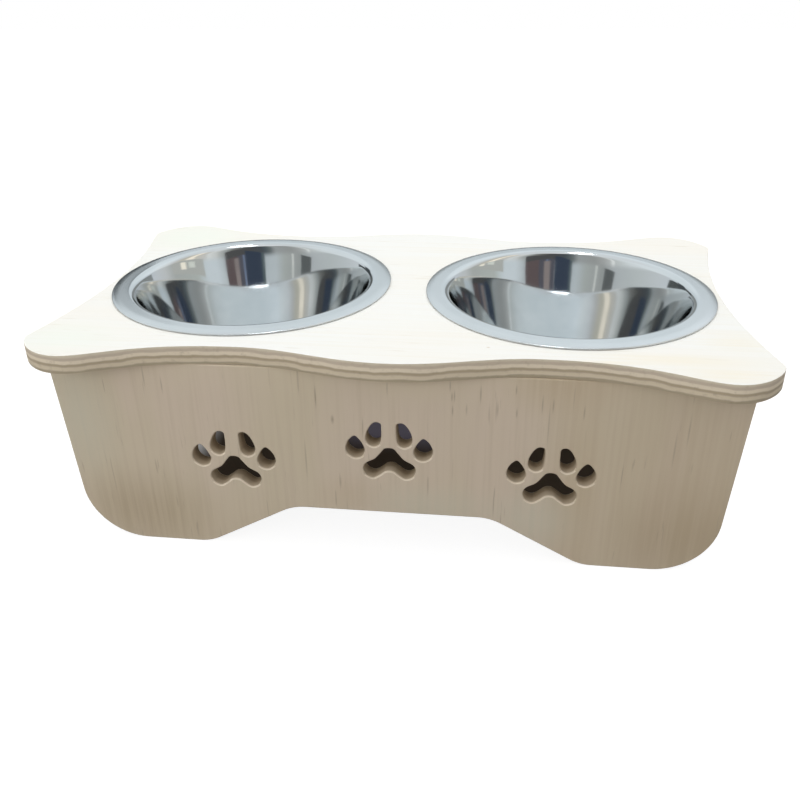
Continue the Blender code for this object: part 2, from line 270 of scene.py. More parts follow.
# One plywood: the top board's paler tones are partly painted light, the panels' darker ones
# partly painted shade.
BOARD_TONES_WITH_PAINTED_LIGHT = ((0.94, 0.945, 0.91), (0.95, 0.93, 0.865), (0.90, 0.87, 0.77), TICK)
PANEL_TONES_WITH_PAINTED_SHADE = ((0.73, 0.61, 0.48), (0.70, 0.60, 0.445), (0.62, 0.51, 0.38), (0.43, 0.34, 0.245))
CREAM = (0.95, 0.89, 0.74)
IVORY = (0.90, 0.955, 0.87)
BOARD_STAINS = (
    (0.150, -0.098, 0.060, 0.011, CREAM, 0.70), (0.176, -0.113, 0.040, 0.014, CREAM, 0.70),
    (0.190, -0.070, 0.030, 0.020, CREAM, 0.50), (0.115, -0.104, 0.030, 0.004, CREAM, 0.70),
    (0.120, -0.0885, 0.016, 0.0007, TICK, 0.60), (0.054, -0.0905, 0.0016, 0.0010, TICK, 1.00),
    (-0.185, -0.100, 0.045, 0.035, IVORY, 0.60), (-0.175, 0.095, 0.060, 0.050, IVORY, 0.80))
MARK_DEPTH = 0.08
board_marks = [((x, y, BOARD_TOP), (long, wide, MARK_DEPTH), tone, share)
               for x, y, long, wide, tone, share in BOARD_STAINS]
board_veneer = new_veneer("board_veneer", 0, BOARD_TONES_WITH_PAINTED_LIGHT, 0.35, (3.1, 0.4, 1.7), board_marks)
print("veneer:", board_veneer.name)

# %% [markdown]
# The front panel's veneer also has marks: a paler strip and a small pale patch just under the
# board, which are painted light under the board's overhang, a wide tan band along the foot and
# a tan patch under the board right of the middle, which are painted shade, a greenish tinge at
# one end, tan and brown stains, a few long pores, and a scatter of short ones near the top
# right. A mark is a soft patch with a place, a reach along each axis and a tone, so a stain and
# a hairline pore are the same thing in two sizes.

# %% Veneer of the front panel, with its marks
# Paler tones for the upward-facing arris in the paw prints: a painted highlight.
PAINTED_HIGHLIGHT_TONES = ((0.92, 0.80, 0.64), (0.90, 0.78, 0.62), (0.84, 0.71, 0.54), (0.43, 0.34, 0.25))
PAINTED_LIGHT_PALE = (0.77, 0.66, 0.49)
GREENISH = (0.68, 0.64, 0.51)
TAN = (0.62, 0.50, 0.35)
BROWN = (0.50, 0.40, 0.27)
PORE = (0.38, 0.30, 0.21)
# Painted light: the strip across the top at 0.128 and the patch at 0.014, 0.119, just under the
# board.
# Painted shade: the wide tan band along the foot at -0.010 and the tan patch under the board at
# 0.096, 0.124.
STAINS_AND_PAINTED_LIGHT = ((0.0, 0.128, 0.400, 0.030, PAINTED_LIGHT_PALE, 0.40), (-0.184, 0.085, 0.034, 0.060, GREENISH, 0.60),
          (0.0, -0.010, 0.400, 0.060, TAN, 0.40), (-0.152, 0.022, 0.060, 0.042, BROWN, 0.85),
          (0.024, 0.036, 0.070, 0.022, GREENISH, 0.50), (0.106, 0.050, 0.022, 0.090, TAN, 0.80),
          (0.172, 0.026, 0.060, 0.052, BROWN, 1.00), (0.170, 0.060, 0.110, 0.120, TAN, 0.55),
          (-0.041, 0.106, 0.0007, 0.010, PORE, 0.80), (-0.049, 0.064, 0.0008, 0.019, PORE, 0.55),
          (-0.032, 0.092, 0.0014, 0.004, PORE, 0.85), (-0.130, 0.109, 0.0007, 0.008, PORE, 0.60),
          (-0.140, 0.114, 0.0007, 0.010, PORE, 0.60), (0.060, 0.103, 0.0007, 0.011, PORE, 0.55),
          (0.089, 0.095, 0.0007, 0.021, PORE, 0.50), (0.158, 0.083, 0.0008, 0.017, PORE, 0.45),
          (0.164, 0.096, 0.0008, 0.014, PORE, 0.50), (0.096, 0.124, 0.048, 0.032, TAN, 1.00),
          (0.014, 0.119, 0.034, 0.022, PAINTED_LIGHT_PALE, 0.60), (0.085, 0.030, 0.036, 0.034, GREENISH, 0.60),
          (-0.024, 0.041, 0.032, 0.020, TAN, 0.45))
dice = random.Random(7)
SHORT_PORES = [(dice.uniform(0.030, 0.125), dice.uniform(0.100, 0.119), 0.0007,
                dice.uniform(0.004, 0.008), PORE, 0.60) for _ in range(12)]
marks = [((x, -PANEL_OUTER_Y, z), (wide, MARK_DEPTH, high), tone, share)
         for x, z, wide, high, tone, share in [*STAINS_AND_PAINTED_LIGHT, *SHORT_PORES]]
panel_veneer = new_veneer("panel_veneer", 2, PANEL_TONES_WITH_PAINTED_SHADE, 0.55, (0.7, 5.3, 2.2))
front_veneer = new_veneer("front_veneer", 2, PANEL_TONES_WITH_PAINTED_SHADE, 0.55, (0.7, 5.3, 2.2), marks)
painted_highlight_wood = new_veneer("painted_highlight_wood", 2, PAINTED_HIGHLIGHT_TONES, 0.0, (2.2, 0.7, 5.3))
print("marks on the front:", len(marks))

# %% [markdown]
# ## Plies
#
# A cut edge shows the sheet's layers. Veneers that end at the edge look darker than those
# that run along it. Each board stores how deep a point lies in its sheet as an attribute
# called depth, 0 at the good face and 1 at the back, so the bands follow every edge, also
# inside the paw prints. A colour ramp on the depth paints them, and a little noise makes the
# glue lines wander as real ones do. In a tight cut the cutter stays longer and scorches the
# wood, which hides the layers, so a second attribute called scorch_and_shade browns the walls
# of the paw prints, and darkens them deeper into the sheet as painted shade.

# %% Cut edges with plies
PLIES = ((0.00, (0.72, 0.64, 0.50)), (0.10, (0.70, 0.61, 0.48)), (0.16, (0.62, 0.52, 0.40)),
         (0.25, (0.62, 0.52, 0.40)), (0.32, (0.85, 0.74, 0.58)), (0.45, (0.85, 0.74, 0.57)),
         (0.52, (0.52, 0.42, 0.29)), (0.60, (0.53, 0.43, 0.30)), (0.68, (0.78, 0.67, 0.50)),
         (0.82, (0.80, 0.69, 0.52)), (0.90, (0.52, 0.43, 0.30)), (1.00, (0.54, 0.45, 0.32)))
# Scorched brown, paler at the good face and darker deeper in: the darkening with depth is
# painted shade.
SCORCHED_AND_SHADED = ((0.62, 0.51, 0.37), (0.38, 0.28, 0.17))
SCORCH_AND_SHADE_SHARE = 0.88
END_GRAIN_STAIN = (0.36, 0.28, 0.19)
GLUE_WANDER = 0.05


def painted_ramp(tree, value, stops):
    """A colour that changes with a value; the stops are positions and colours, in order."""
    ramp = add_node(tree, "ShaderNodeValToRGB", value)
    elements = ramp.color_ramp.elements
    while len(elements) < len(stops):
        elements.new(0.5)
    for element, (position, colour) in zip(elements, stops):
        element.position = position
        element.color = (*colour, 1.0)
    return ramp.outputs["Color"]


def stored_value(tree, name):
    """A number that a mesh stores on its points."""
    return add_node(tree, "ShaderNodeAttribute", attribute_name=name).outputs["Fac"]


def new_ply_edge(name):
    material, tree = new_material(name)
    depth = stored_value(tree, "depth")
    wavy = stretched_noise(tree, (70, 70, 70), (1, 2, 3), 2.0)
    wander = between(tree, wavy, 0.2, 0.8, -GLUE_WANDER, GLUE_WANDER)
    plies = painted_ramp(tree, calculate(tree, "ADD", depth, wander), PLIES)
    fibres = stretched_noise(tree, (260, 260, 380), (4, 1, 2), 3.0, 0.7)
    open_pores = between(tree, fibres, 0.52, 0.82, 0.0, 0.4)
    stained = blend_colour(tree, open_pores, plies, END_GRAIN_STAIN)
    # Painted shade: the walls of the prints darken deeper into the sheet.
    scorched_and_shaded = blend_colour(tree, between(tree, depth, 0.0, 0.9), *SCORCHED_AND_SHADED)
    scorch_and_shade_mask = multiply(tree, stored_value(tree, "scorch_and_shade"), SCORCH_AND_SHADE_SHARE)
    set_inputs(tree, tree.nodes["Principled BSDF"], {
        "Base Color": blend_colour(tree, scorch_and_shade_mask, stained, scorched_and_shaded), "Specular IOR Level": DULL,
        "Roughness": between(tree, fibres, 0.3, 0.7, 0.62, 0.75),
        "Normal": bumped(tree, fibres, 0.4, 0.0003)})
    return material


ply_edge = new_ply_edge("ply_edge")
print("ply bands:", len(PLIES))

# %% [markdown]
# ## Cutting a board
#
# A router cuts any outline through a sheet and leaves a slightly broken edge. A filled 2D
# curve does the same: its loops are the cuts, extrude is the sheet's thickness, and a small
# round bevel breaks the edges. Offset pulls the loops in by the bevel, so the board keeps its
# size. The curve is then turned into a mesh, stood up, and given its depth attribute. An
# upright panel's arris looks like part of its face, and most of the top board's looks like
# part of its edge, so a face may turn further on a panel before it counts as edge.

# %% Cut a board from sheet
LEVEL = 0.9
BOARD_FACING = 0.9
PANEL_FACING = 0.3
FLAT_FACING = 0.99
WIDE_FACE = 0.0001
WELD = 0.000002


def add_object(name, data):
    """A new object in the scene, at the origin."""
    made = bpy.data.objects.new(name, data)
    bpy.context.scene.collection.objects.link(made)
    return made


def close_shell(mesh, weld=0.0):
    """Weld points closer than a distance, and turn all faces outwards."""
    shell = bmesh.new()
    shell.from_mesh(mesh)
    if weld:
        bmesh.ops.remove_doubles(shell, verts=shell.verts, dist=weld)
    bmesh.ops.recalc_face_normals(shell, faces=shell.faces)
    shell.to_mesh(mesh)
    shell.free()


def take_mesh(source, name):
    """The evaluated mesh of an object, as a new plain object that replaces it."""
    graph = bpy.context.evaluated_depsgraph_get()
    mesh = bpy.data.meshes.new_from_object(source.evaluated_get(graph))
    bpy.data.objects.remove(source, do_unlink=True)
    mesh.name = name
    return add_object(name, mesh)


def cut_board(name, loops, thickness, place, across, faces, depth_of):
    """A board in its place in the room; depth_of gives a world point's depth in the sheet."""
    curve = bpy.data.curves.new(name, "CURVE")
    curve.dimensions = "2D"
    curve.fill_mode = "BOTH"
    arris = BOARD_ARRIS if across.z > LEVEL else PANEL_ARRIS
    curve.extrude = thickness / 2 - arris
    curve.bevel_depth = arris
    curve.bevel_resolution = 1
    curve.offset = -arris
    for loop in loops:
        spline = curve.splines.new("POLY")
        spline.points.add(len(loop) - 1)
        for point, (x, y) in zip(spline.points, loop):
            point.co = (x, y, 0.0, 1.0)
        spline.use_cyclic_u = True
    board = take_mesh(add_object(name + "_cut", curve), name)
    board.data.transform(place)
    finish_board(board.data, across, faces, depth_of)
    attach(board, "stand")
    print(name, "faces:", len(board.data.polygons))
    return board


def finish_board(mesh, across, faces, depth_of):
    """Weld a board, store its depth, and give its faces veneer and its edges plies."""
    close_shell(mesh, WELD)
    mesh.materials.clear()
    mesh.materials.append(faces)
    mesh.materials.append(ply_edge)
    mesh.set_sharp_from_angle(angle=radians(35))
    least = BOARD_FACING if across.z > LEVEL else PANEL_FACING
    for face in mesh.polygons:
        facing = abs(face.normal.dot(across))
        face.material_index = 0 if facing > least else 1
        face.use_smooth = facing < FLAT_FACING and face.area < WIDE_FACE
    depth = mesh.attributes.new("depth", "FLOAT", "POINT")
    depth.data.foreach_set("value", [depth_of(v.co) for v in mesh.vertices])


# %% [markdown]
# ## Top board
#
# The bone is one quarter outline, mirrored to the other three: a bump in the middle, a dip, a
# lobe with a round tip, and a drawn-in waist at the end. Each stretch is one Bezier curve, and
# its two inner points keep it square or level where it starts and ends, so the stretches join
# smoothly. Two round holes take the bowls.

# %% Top board
BOWL_X = (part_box("right_bowl")[0].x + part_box("right_bowl")[1].x) / 2
HOLE_RADIUS = 0.0789


def bone_outline():
    bump = (0.0, PANEL_OUTER_Y + 0.0129)
    dip = (0.0832, PANEL_OUTER_Y - 0.0005)
    crest = (0.1789, PANEL_OUTER_Y + 0.0204)
    tip = (board_high.x, PANEL_OUTER_Y - 0.0039)
    waist = (0.1955, 0.0)
    quarter = bezier(waist, (waist[0], 0.0547), (tip[0], tip[1] - 0.005), tip)
    quarter += bezier(tip, (tip[0], tip[1] + 0.006), (crest[0] + 0.0175, crest[1]), crest)
    quarter += bezier(crest, (crest[0] - 0.0186, crest[1]), (dip[0] + 0.0625, dip[1]), dip)
    quarter += bezier(dip, (dip[0] - 0.0291, dip[1]), (0.0324, bump[1]), bump)
    rear = quarter + [bump] + [(-x, y) for x, y in reversed(quarter[1:])]
    return rear + [(-x, -y) for x, y in rear]


holes = [circle((side * BOWL_X, 0.0), HOLE_RADIUS) for side in (-1, 1)]
board_place = Matrix.Translation((0, 0, (BOARD_TOP + BOARD_UNDERSIDE) / 2))
top_board = cut_board("bone_board", [bone_outline(), *holes], PLY, board_place,
                      Vector((0, 0, 1)), board_veneer, lambda p: (BOARD_TOP - p.z) / PLY)
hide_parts("top_board")

# %% [markdown]
# ## Front and rear panels
#
# Both long panels are cut alike: leaning sides, round lower corners, an arch between two
# feet, and three paw prints of one shape. The middle print sits higher than the outer two. An
# arris that faces up in a print catches the light, and its paler veneer is a painted highlight.

# %% Paw prints
PAD_HALF = [(0.0, 0.0), (2.7, -0.6), (4.7, -3.0), (8.3, -7.4), (13.6, -10.7), (15.3, -14.6),
            (13.6, -18.9), (9.5, -20.6), (5.5, -18.2), (2.7, -15.9), (0.0, -15.3)]
INNER_TOE = [(4.8, 15.9), (8.4, 16.3), (11.6, 12.4), (13.4, 6.8), (12.4, 2.5), (8.7, 0.6),
             (5.4, 2.5), (4.5, 6.8), (4.3, 11.6)]
OUTER_TOE = [(20.0, 7.1), (23.4, 4.0), (25.1, -0.6), (24.2, -4.8), (20.2, -7.5), (16.1, -6.4),
             (14.2, -2.6), (15.2, 1.4), (17.4, 5.1)]


def paw_print(x, z):
    """The pad and four toes of one print, in metres, about the top of its pad."""
    pad = PAD_HALF + [(-a, b) for a, b in reversed(PAD_HALF[1:-1])]
    shapes = [pad]
    for toe in (INNER_TOE, OUTER_TOE):
        shapes += [toe, [(-a, b) for a, b in toe]]
    return [[(x + a / 1000, z + b / 1000) for a, b in smooth_loop(shape)] for shape in shapes]


# %% Long panels
LEAN = radians(3.5)
FOOT_WIDTH = 0.0753
ARCH_HEIGHT = 0.030
ARCH_SLOPE = radians(28.8)
ARCH_ROUND = 0.028
CORNER_ROUND = 0.037


def panel_outline():
    floor_x = PANEL_TOP_X - PANEL_HEIGHT * tan(LEAN)
    foot_x = floor_x - FOOT_WIDTH
    arch_x = foot_x - ARCH_HEIGHT / tan(ARCH_SLOPE)
    right = [(arch_x, ARCH_HEIGHT, ARCH_ROUND), (foot_x, 0.0, ARCH_ROUND),
             (floor_x, 0.0, CORNER_ROUND), (PANEL_TOP_X, PANEL_HEIGHT, 0)]
    return rounded_outline(right + [(-x, z, r) for x, z, r in reversed(right)])


PRINTS = ((-0.0926, 0.0635), (0.0, 0.0745), (0.0926, 0.0635))
PRINT_REACH = 0.029
FACING_UP = 0.2
middle_y = (PANEL_OUTER_Y + PANEL_INNER_Y) / 2
stand_up = Matrix.Rotation(pi / 2, 4, "X")
panel_loops = [panel_outline()] + [loop for x, z in PRINTS for loop in paw_print(x, z)]


def in_print(point):
    return any(sqrt((point.x - x) ** 2 + (point.z - z) ** 2) < PRINT_REACH for x, z in PRINTS)


def paint_rim_highlights(mesh):
    """Give the upward-facing arris at the foot of each hole of a print a paler veneer as a
    painted highlight.
    """
    mesh.materials.append(painted_highlight_wood)
    for face in mesh.polygons:
        broken = face.material_index == 0 and face.area < WIDE_FACE
        if broken and in_print(face.center) and face.normal.z > FACING_UP:
            face.material_index = 2


def store_scorch_and_shade(mesh):
    """Store 1 on the walls of the paw prints and 0 elsewhere."""
    scorch_and_shade = mesh.attributes.new("scorch_and_shade", "FLOAT", "POINT")
    scorch_and_shade.data.foreach_set("value", [float(in_print(v.co)) for v in mesh.vertices])


for name, node, side, faces in (("paw_panel_front", "front_panel", -1, front_veneer),
                                ("paw_panel_rear", "rear_panel", 1, panel_veneer)):
    panel_place = Matrix.Translation((0, side * middle_y, 0)) @ stand_up
    panel = cut_board(name, panel_loops, PLY, panel_place, Vector((0, 1, 0)), faces,
                      lambda p: (PANEL_OUTER_Y - abs(p.y)) / PLY)
    store_scorch_and_shade(panel.data)
    paint_rim_highlights(panel.data)
    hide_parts(node)

# %% [markdown]
# ## End panels
#
# The end panels close the stand under the board's waists. They lean with the long panels'
# side edges. Each is a slab between the long panels, so its section is the outline here and
# its length is what the section is drawn out to.

# %% End panels
end_low, end_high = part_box("right_end_panel")


def end_depth(point):
    """Depth below the outer face, which leans in towards the floor."""
    outer_x = end_high.x - (end_high.z - point.z) * tan(LEAN)
    return (outer_x - abs(point.x)) * cos(LEAN) / PLY


for name, side in (("left", -1), ("right", 1)):
    lean_x = (end_high.z - end_low.z) * tan(LEAN)
    inner_x = end_high.x - PLY / cos(LEAN)
    section = [(end_high.x, end_high.z), (inner_x, end_high.z), (inner_x - lean_x, end_low.z),
               (end_high.x - lean_x, end_low.z)]
    across = Vector((cos(LEAN), 0, -side * sin(LEAN)))
    end_panel = cut_board(f"{name}_end_board", [[(side * x, z) for x, z in section]],
                          end_high.y - end_low.y, stand_up, across, panel_veneer, end_depth)
    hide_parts(f"{name}_end_panel")

# %% [markdown]
# ## Dowels
#
# Twenty beech dowels hold the boards. They are all one shape on different axes, which is
# what instancing is for. Geometry Nodes draw one fluted dowel from a star-shaped section and
# place it on every joint's point, turned along the direction stored there.

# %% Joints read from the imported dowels
dowel_nodes = sorted(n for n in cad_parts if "dowel" in n)


def dowel_axis(name):
    low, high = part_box(name)
    size = high - low
    axis = Vector([float(s == max(size)) for s in size])
    return (low + high) / 2, axis, max(size)


dowels = [dowel_axis(name) for name in dowel_nodes]
print("dowels:", len(dowels), "length in mm:", round(1000 * dowels[0][2], 1))

# %% Helpers for Geometry Nodes trees
def new_shape_tree(name, taken, made, numbers, coat):
    """A tree that takes and makes a geometry, with number inputs and one material input."""
    tree = bpy.data.node_groups.new(name, "GeometryNodeTree")
    tree.interface.new_socket(taken, in_out="INPUT", socket_type="NodeSocketGeometry")
    tree.interface.new_socket(made, in_out="OUTPUT", socket_type="NodeSocketGeometry")
    keys = {}
    for label, value in numbers.items():
        kind = "NodeSocketInt" if isinstance(value, int) else "NodeSocketFloat"
        socket = tree.interface.new_socket(label, in_out="INPUT", socket_type=kind)
        socket.default_value = value
        keys[label] = socket.identifier
    socket = tree.interface.new_socket(coat, in_out="INPUT", socket_type="NodeSocketMaterial")
    keys[coat] = socket.identifier
    return tree, keys, add_node(tree, "NodeGroupInput").outputs


def hand_out(tree, geometry, material):
    """Make the instances real, give the mesh its material, and make it the tree's result."""
    real = add_node(tree, "GeometryNodeRealizeInstances", geometry).outputs[0]
    coat = add_node(tree, "GeometryNodeSetMaterial", real, Material=material).outputs[0]
    add_node(tree, "NodeGroupOutput", coat)


def baked_mesh(source, tree, settings, name):
    """The mesh that a tree makes from an object, as a new plain object."""
    nodes = source.modifiers.new("shape", "NODES")
    nodes.node_group = tree
    for key, value in settings.items():
        nodes[key] = value
    return take_mesh(source, name)


# %% Geometry Nodes tree for the dowels
DOWEL_RADIUS = 0.003
GROOVE = 0.93


def dowel_tree():
    numbers = {"Radius": DOWEL_RADIUS, "Length": 0.027, "Flutes": 16}
    tree, keys, given = new_shape_tree("fluted dowels", "Joints", "Dowels", numbers, "Wood")
    section = add_node(tree, "GeometryNodeCurveStar", given["Flutes"],
                       multiply(tree, given["Radius"], GROOVE), given["Radius"])
    ends = [add_node(tree, "ShaderNodeCombineXYZ", Z=multiply(tree, given["Length"], share))
            for share in (-0.5, 0.5)]
    line = add_node(tree, "GeometryNodeCurvePrimitiveLine", Start=ends[0].outputs[0],
                    End=ends[1].outputs[0])
    rod = add_node(tree, "GeometryNodeCurveToMesh", line.outputs["Curve"],
                   section.outputs["Curve"], Fill_Caps=True)
    way = add_node(tree, "GeometryNodeInputNamedAttribute", data_type="FLOAT_VECTOR", Name="way")
    turn = add_node(tree, "FunctionNodeAlignRotationToVector", axis="Z",
                    Vector=way.outputs["Attribute"])
    placed = add_node(tree, "GeometryNodeInstanceOnPoints", given["Joints"],
                      Instance=rod.outputs["Mesh"], Rotation=turn.outputs["Rotation"])
    hand_out(tree, placed.outputs["Instances"], given["Wood"])
    return tree, keys


# %% Dowels
BEECH_TONES = ((0.60, 0.44, 0.27), (0.64, 0.46, 0.28), (0.50, 0.35, 0.20), (0.33, 0.21, 0.11))
beech = new_veneer("beech", 2, BEECH_TONES, 0.6, (2.0, 2.0, 2.0))
joint_mesh = bpy.data.meshes.new("joints")
joint_mesh.from_pydata([centre for centre, axis, length in dowels], [], [])
way = joint_mesh.attributes.new("way", "FLOAT_VECTOR", "POINT")
way.data.foreach_set("vector", [c for centre, axis, length in dowels for c in axis])
tree, keys = dowel_tree()
settings = {keys["Radius"]: DOWEL_RADIUS, keys["Length"]: dowels[0][2], keys["Wood"]: beech}
dowel_set = baked_mesh(add_object("joints", joint_mesh), tree, settings, "beech_dowels")
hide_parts(*dowel_nodes)
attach(dowel_set, "stand")
print("dowel triangles:", sum(len(p.vertices) - 2 for p in dowel_set.data.polygons))

# %% [markdown]
# ## Bowls
#
# Each bowl is pressed from one steel disc, so its shape is a section turned about an axis:
# a flat floor, a heel, a tapering wall, a tight lip, a flat flange and a rolled edge. The
# section is drawn once as arcs, with the angles of the lip's end, the wall's draft and the
# crown's drop in degrees. Geometry Nodes turn it: a grid has one column for each step round the
# bowl and one row for each point of the section, and every grid point is moved to its radius
# and height.

# %% Section of a bowl
def arc(centre, radius, start, end, steps):
    angles = [radians(start + (end - start) * i / steps) for i in range(steps + 1)]
    return [(centre[0] + radius * cos(a), centre[1] + radius * sin(a)) for a in angles]


def between_points(start, end, count):
    """Points between two others, close together near both ends, where smooth shading bends."""
    shares = [(1 - cos(pi * i / (count + 1))) / 2 for i in range(1, count + 1)]
    return [tuple(a + (b - a) * t for a, b in zip(start, end)) for t in shares]


RIM_RADIUS = (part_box("right_bowl")[1].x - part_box("right_bowl")[0].x) / 2
RIM_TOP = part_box("right_bowl")[1].z
STEEL = 0.0007
DEPTH = 0.070
FLAT_INNER = RIM_RADIUS - 0.0104
LIP = 0.0048
LIP_END = 23.7
FLARE = 0.017
DRAFT = 15.4
HEEL = 0.012
CROWN = 0.015
CROWN_DROP = 20.0
BEAD = 0.00042


def wall_points(start, count=16):
    """The flared top of the wall: its draft eases from the lip's end to the straight part."""
    points = [start]
    for i in range(count):
        share = (i + 0.5) / count
        draft = radians(DRAFT + (LIP_END - DRAFT) * (1 - share) ** 2)
        step = FLARE / count
        points.append((points[-1][0] - step * sin(draft), points[-1][1] - step * cos(draft)))
    return points


def offset_outwards(points, distance):
    """Points moved sideways by a distance, off the left hand of the walk."""
    moved = []
    for i, point in enumerate(points):
        before, after = points[max(i - 1, 0)], points[min(i + 1, len(points) - 1)]
        way = Vector((after[0] - before[0], after[1] - before[1])).normalized()
        moved.append((point[0] - way.y * distance, point[1] + way.x * distance))
    return moved


def bowl_section():
    """Half of the section as (radius, height): up the inside, then down the outside."""
    lip = arc((FLAT_INNER, RIM_TOP - LIP), LIP, 90, 180 - LIP_END, 16)
    flare = wall_points(lip[-1])
    slope = radians(DRAFT)
    floor_z = RIM_TOP - DEPTH
    heel_top = floor_z + HEEL - HEEL * sin(slope)
    foot = (flare[-1][0] - (flare[-1][1] - heel_top) * tan(slope), heel_top)
    heel_centre = (foot[0] - HEEL * cos(slope), floor_z + HEEL)
    heel = arc(heel_centre, HEEL, -DRAFT, -90, 14)
    downwards = lip + flare[1:] + between_points(flare[-1], foot, 10) + heel
    downwards += [(heel_centre[0] * 0.5, floor_z), (0.0, floor_z)]
    crown_x = RIM_RADIUS - BEAD - (CROWN - BEAD) * sin(radians(CROWN_DROP))
    crown = arc((crown_x, RIM_TOP - CROWN), CROWN, 90, 90 - CROWN_DROP, 10)
    bead_z = RIM_TOP - CROWN + (CROWN - BEAD) * cos(radians(CROWN_DROP))
    bead = arc((RIM_RADIUS - BEAD, bead_z), BEAD, 90 - CROWN_DROP, -150, 12)
    outside = offset_outwards(downwards[:-1], STEEL)[2:] + [(0.0, floor_z - STEEL)]
    return downwards[::-1] + between_points(lip[0], crown[0], 6) + crown + bead[1:] + outside


section = bowl_section()
print("section points:", len(section), "bowl depth in mm:", round(1000 * DEPTH))


# %% Geometry Nodes tree that turns a section
BOWL_WELD = 0.000005


def turning_tree():
    numbers = {"Steps": 180, "Centre X": 0.0}
    tree, keys, given = new_shape_tree("turned section", "Section", "Turned", numbers, "Metal")
    domain = add_node(tree, "GeometryNodeAttributeDomainSize", given["Section"])
    count = domain.outputs["Point Count"]
    grid = add_node(tree, "GeometryNodeMeshGrid", Vertices_Y=count,
                    Vertices_X=calculate(tree, "ADD", given["Steps"], 1.0))
    index = add_node(tree, "GeometryNodeInputIndex").outputs[0]
    column = calculate(tree, "FLOOR", calculate(tree, "DIVIDE", index, count))
    angle = multiply(tree, calculate(tree, "DIVIDE", column, given["Steps"]), 2 * pi)
    place = add_node(tree, "GeometryNodeInputPosition").outputs[0]
    point = add_node(tree, "GeometryNodeSampleIndex", given["Section"], Value=place,
                     Index=calculate(tree, "MODULO", index, count),
                     data_type="FLOAT_VECTOR", domain="POINT").outputs["Value"]
    parts = add_node(tree, "ShaderNodeSeparateXYZ", point).outputs
    across = multiply(tree, calculate(tree, "COSINE", angle), parts["X"])
    moved = add_node(tree, "ShaderNodeCombineXYZ",
                     calculate(tree, "ADD", across, given["Centre X"]),
                     multiply(tree, calculate(tree, "SINE", angle), parts["X"]), parts["Z"])
    shaped = add_node(tree, "GeometryNodeSetPosition", grid.outputs["Mesh"],
                      Position=moved.outputs[0]).outputs[0]
    welded = add_node(tree, "GeometryNodeMergeByDistance", shaped, Distance=BOWL_WELD).outputs[0]
    smooth = add_node(tree, "GeometryNodeSetShadeSmooth", welded).outputs[0]
    hand_out(tree, smooth, given["Metal"])
    return tree, keys


# %% [markdown]
# ## Steel
#
# The steel is mirror-polished: metallic, almost without roughness, a touch blue. Buffing
# leaves faint rings, and handling leaves the mirror a little uneven, so a soft noise changes
# the roughness and a very low bump bends the reflections slightly.

# %% Polished steel
BRIGHT = (0.765, 0.785, 0.795)
HAZY = (0.735, 0.76, 0.77)
FLANGE_ROUGHNESS = 0.12
FLANGE_START = 0.3
FULL_AFTER = 0.002


def new_steel(name):
    material, tree = new_material(name)
    haze = stretched_noise(tree, (30, 30, 60), (1, 1, 1), 3.0)
    flange = multiply(tree, stored_value(tree, "flange"), FLANGE_ROUGHNESS)
    rings = add_node(tree, "ShaderNodeTangent", direction_type="UV_MAP", uv_map="turned")
    dents = stretched_noise(tree, (45, 45, 45), (2, 5, 1), 1.0)
    set_inputs(tree, tree.nodes["Principled BSDF"], {
        "Metallic": 1.0, "Anisotropic": 0.6, "Tangent": rings.outputs["Tangent"],
        "Base Color": blend_colour(tree, between(tree, haze, 0.35, 0.65), BRIGHT, HAZY),
        "Roughness": calculate(tree, "ADD", between(tree, haze, 0.3, 0.7, 0.05, 0.08), flange),
        "Normal": bumped(tree, dents, 0.05, 0.0003)})
    return material


def map_turned(mesh, centre_x):
    """A UV map that runs round the bowl and along its section, and the flange as a mask."""
    layer = mesh.uv_layers.new(name="turned")
    for face in mesh.polygons:
        corners = [mesh.vertices[mesh.loops[i].vertex_index].co for i in face.loop_indices]
        spins = [atan2(c.y, c.x - centre_x) / (2 * pi) for c in corners]
        wraps = max(spins) - min(spins) > 0.5
        for index, corner, spin in zip(face.loop_indices, corners, spins):
            around = spin + 1 if wraps and spin < 0 else spin
            away = sqrt((corner.x - centre_x) ** 2 + corner.y ** 2)
            layer.data[index].uv = (around, away + (RIM_TOP - corner.z))
    mask = mesh.attributes.new("flange", "FLOAT", "POINT")
    reach = [sqrt((v.co.x - centre_x) ** 2 + v.co.y ** 2) - FLAT_INNER for v in mesh.vertices]
    shares = [min(1.0, max(0.0, FLANGE_START + r / FULL_AFTER)) for r in reach]
    mask.data.foreach_set("value", shares)


steel = new_steel("polished_steel")
turn_tree, turn_keys = turning_tree()
for name, side in (("left", -1), ("right", 1)):
    outline = bpy.data.meshes.new("section")
    outline.from_pydata([(r, 0.0, z) for r, z in section], [], [])
    settings = {turn_keys["Centre X"]: side * BOWL_X, turn_keys["Metal"]: steel}
    bowl = baked_mesh(add_object("section", outline), turn_tree, settings, f"{name}_steel_bowl")
    close_shell(bowl.data)
    map_turned(bowl.data, side * BOWL_X)
    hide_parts(f"{name}_bowl")
    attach(bowl, f"{name}_bowl")
    print(bowl.name, "faces:", len(bowl.data.polygons))

# %% [markdown]
# ## Studio
#
# The floor and the background are plain and white to the camera and to the steel. The floor
# keeps part of its light as plain diffuse white, so the feeder still throws a soft shadow.
# Under the stand its glow and its colour are nearly black, which is a painted shadow for the
# little light that gets in there. In the middle, towards the rear arch, that painted shadow is
# a little lighter and cooler, as painted light from the arch. A fade is the stretch of floor,
# in metres, over which one of these tones gives way to the next.

